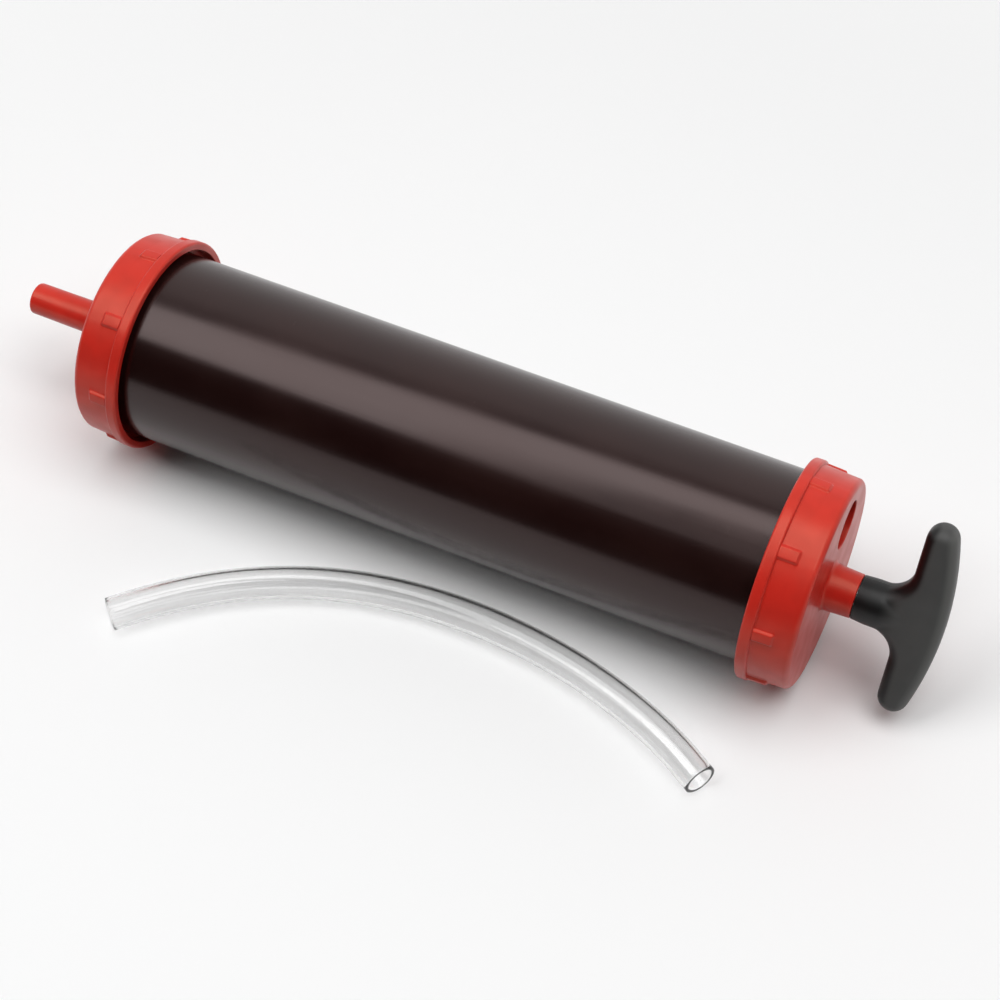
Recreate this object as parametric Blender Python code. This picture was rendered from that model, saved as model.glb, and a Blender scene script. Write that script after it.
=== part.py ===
"""Hand suction and filling syringe: barrel, two screw caps, plunger with T-handle, loose hose.

The barrel lies along X, with its spigot towards -X and its handle towards +X. The syringe rests on
the flanges of its caps, and the origin is at the middle of its footprint.
"""

from math import atan2, cos, pi, radians, sin, tan

import bmesh
import bpy
from mathutils import Matrix, Vector

MM = 0.001

# barrel
TUBE_RADIUS = 37.5 * MM
TUBE_WALL = 2.5 * MM
TUBE_SHOWN = 256.0 * MM
TUBE_CHAMFER = 0.5 * MM

# screw caps, measured from the mouth towards the end face
CAP_DEPTH = 20.0 * MM
CAP_WALL = 3.7 * MM
CAP_END_WALL = 3.0 * MM
CAP_TAPER = 0.7 * MM
CAP_END_ROUND = 2.4 * MM
CAP_FLANGE_REACH = 1.5 * MM
CAP_FLANGE_WIDTH = 4.6 * MM
CAP_FLANGE_ROUND = 1.0 * MM
CAP_MOUTH_GAP = 2.4 * MM
CAP_MOUTH_DEPTH = 5.0 * MM
RIB_COUNT = 8
RIB_LENGTH = 7.4 * MM
RIB_WIDTH = 4.8 * MM
RIB_HEIGHT = 1.1 * MM
RIB_ROOT = 1.2 * MM
RIB_BEVEL = 0.5 * MM

# spigot of the front cap
SPIGOT_LENGTH = 42.0 * MM
SPIGOT_ROOT_RADIUS = 6.7 * MM
SPIGOT_TIP_RADIUS = 6.4 * MM
SPIGOT_BORE_RADIUS = 4.4 * MM
SPIGOT_ROUND = 0.7 * MM
SPIGOT_FILLET = 1.5 * MM

# guide collar and vent hole of the rear cap
COLLAR_LENGTH = 11.5 * MM
COLLAR_ROOT_RADIUS = 9.1 * MM
COLLAR_TIP_RADIUS = 8.5 * MM
COLLAR_ROUND = 0.5 * MM
COLLAR_FILLET = 1.2 * MM
VENT_RADIUS = 9.5 * MM
VENT_MARGIN = 1.0 * MM

# plunger rod and what holds it in the piston
ROD_RADIUS = 6.0 * MM
ROD_STUB_RADIUS = 4.0 * MM
ROD_SOCKET_DEPTH = 16.0 * MM
ROD_CHAMFER = 0.6 * MM
WASHER_RADIUS = 12.0 * MM
WASHER_THICKNESS = 1.6 * MM
NUT_WIDTH = 13.0 * MM
NUT_THICKNESS = 6.5 * MM
NUT_END_GAP = 1.0 * MM

# piston and its rings
PISTON_LENGTH = 24.0 * MM
PISTON_GAP = 0.6 * MM
PISTON_ROUND = 1.0 * MM
RING_SECTION_RADIUS = 2.65 * MM
RING_SPACING = 12.0 * MM
GASKET_THICKNESS = 2.0 * MM

# T-handle, measured from the end of its stem
HANDLE_THICKNESS = 13.5 * MM
HANDLE_ROUND = 4.4 * MM
HANDLE_PLATE_START = 2.0 * MM
STEM_START_RADIUS = 8.5 * MM
STEM_RADIUS = 8.9 * MM
STEM_SWELL = 5.0 * MM
STEM_STRAIGHT = 9.0 * MM
STEM_RUNOUT = 8.0 * MM
STEM_END_RADIUS = 5.5 * MM
NECK_HALF_WIDTH = 8.4 * MM
ARM_START = 17.0 * MM
ARM_WIDTH = 11.8 * MM
ARM_SPAN = 79.0 * MM
ARM_FILLET = 10.0 * MM
PALM_CROWN = 4.4 * MM

# hose, with the middle line of its route on the ground in metres
HOSE_RADIUS = 6.5 * MM
HOSE_SPACING = 2.2
HOSE_ROUTE = [
    (-0.103, -0.102), (-0.092, -0.091), (-0.081, -0.081), (-0.069, -0.072),
    (-0.057, -0.064), (-0.043, -0.058), (-0.029, -0.053), (-0.015, -0.049),
    (0.000, -0.0465), (0.014, -0.0455), (0.029, -0.0455), (0.044, -0.046),
    (0.058, -0.048), (0.072, -0.051), (0.087, -0.055), (0.101, -0.060),
    (0.115, -0.067), (0.129, -0.075),
]

# turns about the barrel's axis, from straight up towards -Y
FRONT_RIB_ANGLE = radians(-11.0)
REAR_RIB_ANGLE = radians(-17.0)
VENT_ANGLE = radians(-35.0)
HANDLE_ANGLE = radians(-25.0)

CLEARANCE = 0.3 * MM
TURNED_STEPS = 64
PISTON_STEPS = 40
SMALL_STEPS = 32
ROUND_STEPS = 3
SHARP_ANGLE = radians(35)

# sizes and places that follow from others
CAP_BORE_RADIUS = TUBE_RADIUS + CLEARANCE
CAP_MOUTH_RADIUS = TUBE_RADIUS + CAP_MOUTH_GAP
CAP_BODY_RADIUS = CAP_BORE_RADIUS + CAP_WALL
CAP_END_RADIUS = CAP_BODY_RADIUS - CAP_TAPER
CAP_FLANGE_RADIUS = CAP_BODY_RADIUS + CAP_FLANGE_REACH
VENT_OFFSET = TUBE_RADIUS - TUBE_WALL - VENT_MARGIN - VENT_RADIUS
STEM_END = ARM_START + STEM_RUNOUT
HANDLE_REACH = ARM_START + ARM_WIDTH + PALM_CROWN

# stations along X, from the spigot's tip to the handle's palm
CAP_BORE_DEPTH = CAP_DEPTH - CAP_END_WALL
LENGTH = (SPIGOT_LENGTH + CAP_DEPTH + TUBE_SHOWN + CAP_DEPTH + COLLAR_LENGTH + CLEARANCE
          + HANDLE_REACH)
FRONT_FACE = SPIGOT_LENGTH - LENGTH / 2
FRONT_MOUTH = FRONT_FACE + CAP_DEPTH
REAR_MOUTH = FRONT_MOUTH + TUBE_SHOWN
REAR_FACE = REAR_MOUTH + CAP_DEPTH
HANDLE_START = REAR_FACE + COLLAR_LENGTH + CLEARANCE
GASKET_FRONT = FRONT_FACE + CAP_END_WALL + CLEARANCE
TUBE_FRONT = GASKET_FRONT + GASKET_THICKNESS + CLEARANCE
TUBE_REAR = REAR_MOUTH + CAP_BORE_DEPTH - CLEARANCE
NUT_FRONT = FRONT_FACE + CAP_END_WALL + NUT_END_GAP
WASHER_FRONT = NUT_FRONT + NUT_THICKNESS + CLEARANCE
PISTON_FRONT = WASHER_FRONT + WASHER_THICKNESS + CLEARANCE
WASHER_REAR = PISTON_FRONT + PISTON_LENGTH + CLEARANCE
ROD_SHOULDER = WASHER_REAR + WASHER_THICKNESS + CLEARANCE
ROD_END = HANDLE_START + ROD_SOCKET_DEPTH - CLEARANCE

# the flange's lowest facet is flat on the ground
AXIS_HEIGHT = CAP_FLANGE_RADIUS * cos(pi / TURNED_STEPS)


def make_material(name, colour, roughness, metallic=0.0, alpha=1.0):
    material = bpy.data.materials.new(name)
    material.use_nodes = True
    shader = material.node_tree.nodes["Principled BSDF"]
    shader.inputs["Base Color"].default_value = (*colour, 1.0)
    shader.inputs["Roughness"].default_value = roughness
    shader.inputs["Metallic"].default_value = metallic
    shader.inputs["Alpha"].default_value = alpha
    material.diffuse_color = (*colour, alpha)
    return material


def make_empty(name, location, rotation=(0, 0, 0), parent=None):
    empty = bpy.data.objects.new(name, None)
    empty.empty_display_size = 0.02
    empty.location = location
    empty.rotation_euler = rotation
    empty.parent = parent
    bpy.context.collection.objects.link(empty)
    return empty


def add_object(name, mesh, parent, location=(0, 0, 0), rotation=(0, 0, 0), material=None):
    obj = bpy.data.objects.new(name, mesh)
    obj.parent = parent
    obj.location = location
    obj.rotation_euler = rotation
    bpy.context.collection.objects.link(obj)
    if material:
        mesh.materials.append(material)
    return obj


def mesh_from(name, build):
    """Return a mesh made by build, a function that fills a bmesh."""
    mesh = bpy.data.meshes.new(name)
    shape = bmesh.new()
    build(shape)
    bmesh.ops.recalc_face_normals(shape, faces=shape.faces)
    shape.to_mesh(mesh)
    shape.free()
    return mesh


def arc(centre, radius, start, end, steps):
    """Points on a circle in the plane, from angle start to angle end."""
    turns = [start + (end - start) * step / steps for step in range(steps + 1)]
    return [(centre[0] + radius * cos(t), centre[1] + radius * sin(t)) for t in turns]


def round_corners(corners, steps=ROUND_STEPS, closed=True):
    """Replace each (r, z, radius) corner of an outline by an arc that touches both its sides."""
    points = []
    for index, (r, z, radius) in enumerate(corners):
        is_end = not closed and index in (0, len(corners) - 1)
        if radius == 0 or is_end:
            points.append((r, z))
            continue
        here = Vector((r, z))
        back = Vector(corners[index - 1][:2]) - here
        ahead = Vector(corners[(index + 1) % len(corners)][:2]) - here
        half = back.angle(ahead) / 2
        centre = here + (back.normalized() + ahead.normalized()).normalized() * radius / sin(half)
        first = here + back.normalized() * radius / tan(half) - centre
        last = here + ahead.normalized() * radius / tan(half) - centre
        start = atan2(first.y, first.x)
        sweep = (atan2(last.y, last.x) - start + pi) % (2 * pi) - pi
        points += arc(centre, radius, start, start + sweep, steps)
    return points


def turn(name, profile, steps, material, parent, station, flip=False, solid=False):
    """Revolve an (r, z) profile, which runs down its outer side, about the parent's Z axis.

    The profile is closed, or for a solid piece it starts and ends on the axis. Its start is half a
    step from straight down, so that a facet and not an edge faces the ground.
    """
    mesh = bpy.data.meshes.new(name)
    half_step = pi / steps
    verts = [(r * cos(half_step), r * sin(half_step), z) for r, z in profile]
    edges = [(i, i + 1) for i in range(len(verts) - 1)]
    if not solid:
        edges.append((len(verts) - 1, 0))
    mesh.from_pydata(verts, edges, [])
    rotation = (0, pi, 0) if flip else (0, 0, 0)
    obj = add_object(name, mesh, parent, (0, 0, station), rotation, material)
    screw = obj.modifiers.new("turn", "SCREW")
    screw.steps = steps
    screw.render_steps = steps
    screw.use_merge_vertices = solid
    screw.merge_threshold = 0.00001
    return obj


def around(angle, radius):
    """Place on the axis frame's XY plane, with the angle measured from straight up towards -Y."""
    return (-radius * cos(angle), -radius * sin(angle))


def combine(obj, operand, operation):
    """Unite or cut obj with a guide object, which stays in the file as a wire."""
    operand.hide_render = True
    operand.display_type = "WIRE"
    boolean = obj.modifiers.new(operand.name, "BOOLEAN")
    boolean.operation = operation
    boolean.solver = "EXACT"
    boolean.object = operand


def cylinder_guide(name, radius, low, high, parent, place=(0, 0), steps=SMALL_STEPS):
    """A cylinder from low to high along the parent's Z axis."""
    def build(shape):
        bmesh.ops.create_cone(shape, cap_ends=True, segments=steps, radius1=radius,
                              radius2=radius, depth=high - low)
    return add_object(name, mesh_from(name, build), parent, (*place, (low + high) / 2))


def cap_profile(neck):
    """Cap with a hollow neck on its end face, from the neck's tip down to the mouth and back up."""
    tip = CAP_DEPTH + neck["length"]
    return round_corners([
        (neck["tip_radius"], tip, neck["round"]),
        (neck["root_radius"], CAP_DEPTH, neck["fillet"]),
        (CAP_END_RADIUS, CAP_DEPTH, CAP_END_ROUND),
        (CAP_BODY_RADIUS, CAP_FLANGE_WIDTH, 0),
        (CAP_FLANGE_RADIUS, CAP_FLANGE_WIDTH, CAP_FLANGE_ROUND),
        (CAP_FLANGE_RADIUS, 0, CAP_FLANGE_ROUND),
        (CAP_MOUTH_RADIUS, 0, 0),
        (CAP_MOUTH_RADIUS, CAP_MOUTH_DEPTH, 0),
        (CAP_BORE_RADIUS, CAP_MOUTH_DEPTH, 0),
        (CAP_BORE_RADIUS, CAP_BORE_DEPTH, 0),
        (neck["bore_radius"], CAP_BORE_DEPTH, 0),
        (neck["bore_radius"], tip, 0),
    ])


def rib_guide(name, parent, mouth, direction, first_angle):
    """Grip ribs in a ring, which stand on the cap's body and run into its flange."""
    low = CAP_FLANGE_WIDTH / 2
    high = CAP_FLANGE_WIDTH + RIB_LENGTH
    depth = RIB_ROOT + RIB_HEIGHT
    middle = CAP_BODY_RADIUS + RIB_HEIGHT - depth / 2

    def build(shape):
        for index in range(RIB_COUNT):
            angle = first_angle + index * 2 * pi / RIB_COUNT
            place = Matrix.Translation((*around(angle, middle), direction * (low + high) / 2))
            facing = Matrix.Rotation(angle, 4, "Z")
            size = Matrix.Diagonal((depth, RIB_WIDTH, high - low, 1))
            bmesh.ops.create_cube(shape, size=1, matrix=place @ facing @ size)
        bmesh.ops.bevel(shape, geom=shape.edges[:], offset=RIB_BEVEL, segments=1,
                        affect="EDGES", profile=0.5)
    return add_object(name, mesh_from(name, build), parent, (0, 0, mouth))


def build_barrel(axis):
    outer = TUBE_RADIUS
    inner = TUBE_RADIUS - TUBE_WALL
    length = TUBE_REAR - TUBE_FRONT
    profile = [
        (outer - TUBE_CHAMFER, length), (outer, length - TUBE_CHAMFER),
        (outer, TUBE_CHAMFER), (outer - TUBE_CHAMFER, 0),
        (inner + TUBE_CHAMFER, 0), (inner, TUBE_CHAMFER),
        (inner, length - TUBE_CHAMFER), (inner + TUBE_CHAMFER, length),
    ]
    dark_tube = make_material("dark_tube", (0.040, 0.026, 0.024), 0.38)
    turn("barrel", profile, TURNED_STEPS, dark_tube, axis, TUBE_FRONT)


def build_front_cap(axis, red):
    spigot = {
        "length": SPIGOT_LENGTH, "root_radius": SPIGOT_ROOT_RADIUS,
        "tip_radius": SPIGOT_TIP_RADIUS, "bore_radius": SPIGOT_BORE_RADIUS,
        "round": SPIGOT_ROUND, "fillet": SPIGOT_FILLET,
    }
    cap = turn("front_cap", cap_profile(spigot), TURNED_STEPS, red, axis, FRONT_MOUTH, flip=True)
    ribs = rib_guide("front_ribs", axis, FRONT_MOUTH, -1, FRONT_RIB_ANGLE)
    combine(cap, ribs, "UNION")
    rubber = make_material("gasket_rubber", (0.030, 0.030, 0.032), 0.70)
    inner = TUBE_RADIUS - TUBE_WALL
    ring = [(TUBE_RADIUS, GASKET_THICKNESS), (TUBE_RADIUS, 0), (inner, 0),
            (inner, GASKET_THICKNESS)]
    turn("front_gasket", ring, TURNED_STEPS, rubber, axis, GASKET_FRONT)


def build_rear_cap(axis, red):
    collar = {
        "length": COLLAR_LENGTH, "root_radius": COLLAR_ROOT_RADIUS,
        "tip_radius": COLLAR_TIP_RADIUS, "bore_radius": ROD_RADIUS + CLEARANCE,
        "round": COLLAR_ROUND, "fillet": COLLAR_FILLET,
    }
    cap = turn("rear_cap", cap_profile(collar), TURNED_STEPS, red, axis, REAR_MOUTH)
    ribs = rib_guide("rear_ribs", axis, REAR_MOUTH, 1, REAR_RIB_ANGLE)
    combine(cap, ribs, "UNION")
    margin = CAP_END_WALL / 2
    vent = cylinder_guide("vent_cutter", VENT_RADIUS, REAR_FACE - CAP_END_WALL - margin,
                          REAR_FACE + margin, axis, around(VENT_ANGLE, VENT_OFFSET))
    combine(cap, vent, "DIFFERENCE")


def build_piston(axis):
    outer = TUBE_RADIUS - TUBE_WALL - PISTON_GAP
    bore = ROD_STUB_RADIUS + CLEARANCE
    ring_centre = TUBE_RADIUS - TUBE_WALL - CLEARANCE - RING_SECTION_RADIUS
    groove_floor = ring_centre - RING_SECTION_RADIUS - CLEARANCE
    groove_half = RING_SECTION_RADIUS + CLEARANCE
    stations = [PISTON_LENGTH / 2 + side * RING_SPACING / 2 for side in (1, -1)]
    profile = [(outer, PISTON_LENGTH, PISTON_ROUND)]
    for station in stations:
        profile += [(outer, station + groove_half, 0), (groove_floor, station + groove_half, 0),
                    (groove_floor, station - groove_half, 0), (outer, station - groove_half, 0)]
    profile += [(outer, 0, PISTON_ROUND), (bore, 0, 0), (bore, PISTON_LENGTH, 0)]
    grey = make_material("piston_plastic", (0.60, 0.60, 0.58), 0.45)
    turn("piston", round_corners(profile), PISTON_STEPS, grey, axis, PISTON_FRONT)

    nitrile = make_material("ring_rubber", (0.022, 0.022, 0.022), 0.60)
    section = arc((ring_centre, 0), RING_SECTION_RADIUS, pi / 8, pi / 8 - 2 * pi, 8)[:-1]
    for name, station in zip(("o_ring_rear", "o_ring_front"), stations):
        turn(name, section, PISTON_STEPS, nitrile, axis, PISTON_FRONT + station)


def build_rod(axis):
    steel = make_material("plated_steel", (0.62, 0.63, 0.64), 0.30, metallic=1.0)
    stub = ROD_SHOULDER - NUT_FRONT
    length = ROD_END - NUT_FRONT
    profile = [
        (0, length), (ROD_RADIUS - ROD_CHAMFER, length), (ROD_RADIUS, length - ROD_CHAMFER),
        (ROD_RADIUS, stub), (ROD_STUB_RADIUS, stub), (ROD_STUB_RADIUS, ROD_CHAMFER),
        (ROD_STUB_RADIUS - ROD_CHAMFER, 0), (0, 0),
    ]
    turn("plunger_rod", profile, SMALL_STEPS, steel, axis, NUT_FRONT, solid=True)

    bore = ROD_STUB_RADIUS + CLEARANCE
    washer = [(WASHER_RADIUS, WASHER_THICKNESS), (WASHER_RADIUS, 0), (bore, 0),
              (bore, WASHER_THICKNESS)]
    turn("washer_front", washer, SMALL_STEPS, steel, axis, WASHER_FRONT)
    turn("washer_rear", washer, SMALL_STEPS, steel, axis, WASHER_REAR)

    nut = cylinder_guide("piston_nut", NUT_WIDTH / 2 / cos(pi / 6), NUT_FRONT,
                         NUT_FRONT + NUT_THICKNESS, axis, steps=6)
    nut.data.materials.append(steel)
    margin = NUT_THICKNESS / 2
    cutter = cylinder_guide("nut_bore_cutter", bore, NUT_FRONT - margin,
                            NUT_FRONT + NUT_THICKNESS + margin, axis)
    combine(nut, cutter, "DIFFERENCE")


def handle_outline():
    """Half outline of the T as (across, along), from the neck round one arm to the palm's apex."""
    tip_radius = ARM_WIDTH / 2
    tip = (ARM_SPAN / 2 - tip_radius, ARM_START + tip_radius)
    # the palm's arc touches the arm's round tip from outside and peaks at the handle's reach
    short = tip_radius + PALM_CROWN
    palm_radius = (short ** 2 + tip[0] ** 2 - tip_radius ** 2) / (2 * PALM_CROWN)
    palm_centre = (0, HANDLE_REACH - palm_radius)
    touch = atan2(tip[1] - palm_centre[1], tip[0])
    fillet_centre = (NECK_HALF_WIDTH + ARM_FILLET, ARM_START - ARM_FILLET)
    outline = [(NECK_HALF_WIDTH, HANDLE_PLATE_START)]
    outline += arc(fillet_centre, ARM_FILLET, pi, pi / 2, 6)
    outline += arc(tip, tip_radius, -pi / 2, touch, 10)
    outline += arc(palm_centre, palm_radius, touch, pi / 2, 6)[1:]
    return outline


def build_handle(axis):
    half = handle_outline()
    outline = half + [(-across, along) for across, along in reversed(half[:-1])]

    def build(shape):
        verts = [shape.verts.new((across, -HANDLE_THICKNESS / 2, along))
                 for across, along in outline]
        face = shape.faces.new(verts)
        pushed = bmesh.ops.extrude_face_region(shape, geom=[face])["geom"]
        moved = [item for item in pushed if isinstance(item, bmesh.types.BMVert)]
        bmesh.ops.translate(shape, verts=moved, vec=(0, HANDLE_THICKNESS, 0))

    black = make_material("black_plastic", (0.030, 0.030, 0.030), 0.55)
    turned = (0, 0, HANDLE_ANGLE + pi)
    handle = add_object("handle", mesh_from("handle", build), axis, (0, 0, HANDLE_START), turned,
                        black)
    rim = handle.modifiers.new("rim", "BEVEL")
    rim.width = HANDLE_ROUND
    rim.segments = 4
    rim.limit_method = "ANGLE"
    rim.angle_limit = radians(40)
    rim.use_clamp_overlap = False

    stem_profile = [
        (0, STEM_END), (STEM_END_RADIUS, STEM_END), (STEM_RADIUS, STEM_STRAIGHT),
        (STEM_RADIUS, STEM_SWELL), (STEM_START_RADIUS, 0), (0, 0),
    ]
    stem = turn("handle_stem", stem_profile, SMALL_STEPS, None, axis, HANDLE_START, solid=True)
    combine(handle, stem, "UNION")
    socket = cylinder_guide("socket_cutter", ROD_RADIUS + CLEARANCE, HANDLE_START - CLEARANCE,
                            HANDLE_START + ROD_SOCKET_DEPTH, axis)
    combine(handle, socket, "DIFFERENCE")


def smooth_route(points, spacing):
    """Points about one spacing apart on a Catmull-Rom curve through the given points."""
    knots = [Vector(point) for point in points]
    knots = [2 * knots[0] - knots[1], *knots, 2 * knots[-1] - knots[-2]]
    fine = []
    for p0, p1, p2, p3 in zip(knots, knots[1:], knots[2:], knots[3:]):
        for step in range(10):
            t = step / 10
            fine.append(0.5 * (2 * p1 + (p2 - p0) * t + (2 * p0 - 5 * p1 + 4 * p2 - p3) * t * t
                               + (3 * p1 - p0 - 3 * p2 + p3) * t ** 3))
    fine.append(knots[-2])
    runs = [0.0]
    for before, after in zip(fine, fine[1:]):
        runs.append(runs[-1] + (after - before).length)
    count = round(runs[-1] / spacing)
    wanted = [runs[-1] * index / count for index in range(count + 1)]
    return [fine[min(range(len(runs)), key=lambda i: abs(runs[i] - run))] for run in wanted]


def build_hose():
    route = smooth_route(HOSE_ROUTE, HOSE_SPACING * 2 * HOSE_RADIUS)
    curve = bpy.data.curves.new("hose", "CURVE")
    curve.dimensions = "3D"
    curve.bevel_depth = HOSE_RADIUS
    curve.bevel_resolution = 3
    curve.use_fill_caps = True
    spline = curve.splines.new("POLY")
    spline.points.add(len(route) - 1)
    for point, (x, y) in zip(spline.points, route):
        point.co = (x, y, HOSE_RADIUS, 1)
    curve.materials.append(make_material("clear_hose", (0.86, 0.87, 0.86), 0.12, alpha=0.35))
    hose = bpy.data.objects.new("hose", curve)
    bpy.context.collection.objects.link(hose)


def settle_shapes():
    """Apply the modifiers, drop the guides, and shade smooth except at sharp edges."""
    graph = bpy.context.evaluated_depsgraph_get()
    meshes = [obj for obj in bpy.context.scene.objects if obj.type == "MESH"]
    pieces = [obj for obj in meshes if not obj.hide_render]
    shapes = [bpy.data.meshes.new_from_object(piece.evaluated_get(graph)) for piece in pieces]
    for piece, shape in zip(pieces, shapes):
        piece.modifiers.clear()
        piece.data = shape
        shape.shade_smooth()
        shape.set_sharp_from_angle(angle=SHARP_ANGLE)
    for guide in set(meshes) - set(pieces):
        bpy.data.objects.remove(guide, do_unlink=True)


def main():
    for obj in list(bpy.data.objects):
        bpy.data.objects.remove(obj, do_unlink=True)
    along_x = (0, pi / 2, 0)
    barrel_axis = make_empty("barrel_axis", (0, 0, AXIS_HEIGHT), along_x)
    piston_axis = make_empty("piston_axis", (0, 0, 0), parent=barrel_axis)
    plunger_axis = make_empty("plunger_axis", (0, 0, 0), parent=piston_axis)
    red = make_material("red_plastic", (0.70, 0.060, 0.040), 0.42)
    build_barrel(barrel_axis)
    build_front_cap(barrel_axis, red)
    build_rear_cap(barrel_axis, red)
    build_piston(piston_axis)
    build_rod(plunger_axis)
    build_handle(plunger_axis)
    build_hose()
    settle_shapes()


main()
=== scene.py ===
from math import atan2, cos, pi, radians, sin, tan

import bmesh
import bpy
from mathutils import Matrix, Vector


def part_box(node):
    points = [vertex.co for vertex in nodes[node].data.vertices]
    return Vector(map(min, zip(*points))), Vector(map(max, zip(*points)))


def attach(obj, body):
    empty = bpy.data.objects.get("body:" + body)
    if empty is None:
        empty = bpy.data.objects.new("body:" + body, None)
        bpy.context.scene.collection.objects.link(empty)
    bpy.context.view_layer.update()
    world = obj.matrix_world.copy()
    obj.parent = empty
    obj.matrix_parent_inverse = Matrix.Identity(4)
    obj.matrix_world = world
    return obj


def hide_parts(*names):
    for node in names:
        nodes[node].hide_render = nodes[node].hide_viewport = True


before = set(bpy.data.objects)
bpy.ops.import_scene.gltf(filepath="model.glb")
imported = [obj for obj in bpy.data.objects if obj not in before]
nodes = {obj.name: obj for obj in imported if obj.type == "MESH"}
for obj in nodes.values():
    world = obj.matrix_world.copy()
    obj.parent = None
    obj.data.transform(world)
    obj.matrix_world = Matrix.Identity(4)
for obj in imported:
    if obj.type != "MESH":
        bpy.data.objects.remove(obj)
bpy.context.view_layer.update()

# Looks of a hand syringe: dark extruded barrel, red moulded caps, black T-handle, clear hose.
# It lies along X, spigot towards -X and handle towards +X. Sizes in the dictionaries are in mm.
mm = 0.001
barrelLow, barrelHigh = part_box("barrel")
axisHeight = (barrelLow[2] + barrelHigh[2]) / 2


# small helpers for meshes

def addPiece(name, mesh, body, replaced=None):
    piece = bpy.data.objects.new(name, mesh)
    bpy.context.scene.collection.objects.link(piece)
    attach(piece, body)
    if replaced:
        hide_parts(replaced)
    return piece


def arcPoints(centre, radius, start, sweep, steps):
    turns = [start + sweep * step / steps for step in range(steps + 1)]
    return [(centre[0] + radius * cos(t), centre[1] + radius * sin(t)) for t in turns]


def roundedOutline(corners, steps=8):
    # each corner is (along, across, round); a round of 0 stays sharp
    points = []
    for index, (along, across, rounding) in enumerate(corners):
        if rounding == 0:
            points.append((along, across))
            continue
        here = Vector((along, across))
        back = (Vector(corners[index - 1][:2]) - here).normalized()
        ahead = (Vector(corners[(index + 1) % len(corners)][:2]) - here).normalized()
        half = back.angle(ahead) / 2
        centre = here + (back + ahead).normalized() * rounding / sin(half)
        first = here + back * rounding / tan(half) - centre
        last = here + ahead * rounding / tan(half) - centre
        start = atan2(first.y, first.x)
        sweep = (atan2(last.y, last.x) - start + pi) % (2 * pi) - pi
        points += arcPoints(centre, rounding, start, sweep, steps)
    return points


def turnedMesh(name, outline, angles, startX, direction=1, lift=None):
    # outline is a closed loop of (station, radius) in mm, turned about the barrel's axis
    shape = bmesh.new()
    rings = []
    for angle in angles:
        ring = []
        for station, radius in outline:
            if lift:
                radius = lift(station, radius, angle)
            ring.append(shape.verts.new((
                startX + direction * station * mm,
                -radius * mm * sin(angle),
                axisHeight + radius * mm * cos(angle))))
        rings.append(ring)
    count = len(outline)
    for ring, after in zip(rings, rings[1:] + rings[:1]):
        for j in range(count):
            k = (j + 1) % count
            shape.faces.new((ring[j], ring[k], after[k], after[j]))
    bmesh.ops.remove_doubles(shape, verts=shape.verts, dist=0.001 * mm)
    bmesh.ops.dissolve_degenerate(shape, edges=shape.edges, dist=0.001 * mm)
    bmesh.ops.recalc_face_normals(shape, faces=shape.faces)
    mesh = bpy.data.meshes.new(name)
    shape.to_mesh(mesh)
    shape.free()
    return mesh


def evenAngles(count):
    return [2 * pi * step / count for step in range(count)]


def smoothShade(piece, sharpAngle=50):
    piece.data.shade_smooth()
    piece.data.set_sharp_from_angle(angle=radians(sharpAngle))
    weighted = piece.modifiers.new("evenNormals", "WEIGHTED_NORMAL")
    weighted.keep_sharp = True


def cutHole(piece, cutter):
    hole = piece.modifiers.new("hole", "BOOLEAN")
    hole.operation = "DIFFERENCE"
    hole.solver = "EXACT"
    hole.object = cutter
    settled = bpy.data.meshes.new_from_object(
        piece.evaluated_get(bpy.context.evaluated_depsgraph_get()))
    piece.modifiers.clear()
    piece.data = settled
    bpy.data.objects.remove(cutter, do_unlink=True)


# camera

shot = {
    "azimuth": 24.88,            # degrees round the barrel, 0 looks along +Y
    "elevation": 52.59,          # degrees above the ground
    "distance": 900.0,
    "aim": (14.1, 0.0, 21.75),
    "lens": 83.5,
}


def makeCamera():
    turn, rise = radians(shot["azimuth"]), radians(shot["elevation"])
    back = Vector((sin(turn) * cos(rise), -cos(turn) * cos(rise), sin(rise)))
    camera = bpy.data.objects.new("camera", bpy.data.cameras.new("camera"))
    bpy.context.scene.collection.objects.link(camera)
    camera.data.lens = shot["lens"]
    camera.data.clip_start = 0.05
    camera.data.clip_end = 50
    camera.location = Vector(shot["aim"]) * mm + back * shot["distance"] * mm
    camera.rotation_euler = (-back).to_track_quat("-Z", "Y").to_euler()
    bpy.context.scene.camera = camera


makeCamera()
print("camera set")


# clear hose, lying loose on the ground

hose = {
    "outer": 13.0,
    "bore": 10.4,
    "spacing": 2.0,              # between the rings of the mesh
    "sides": 64,
    "edge": 0.25,                # softened edge of the cut ends
    "route": [                   # the middle line on the ground, in metres
        (-0.1030, -0.1020), (-0.0922, -0.0908), (-0.0811, -0.0809), (-0.0690, -0.0719),
        (-0.0567, -0.0645), (-0.0430, -0.0579), (-0.0291, -0.0528), (-0.0151, -0.0491),
        (-0.0001, -0.0466), (0.0139, -0.0454), (0.0290, -0.0452), (0.0440, -0.0462),
        (0.0581, -0.0481), (0.0721, -0.0509), (0.0870, -0.0551), (0.1009, -0.0601),
        (0.1150, -0.0667), (0.1290, -0.0750),
    ],
}


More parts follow.
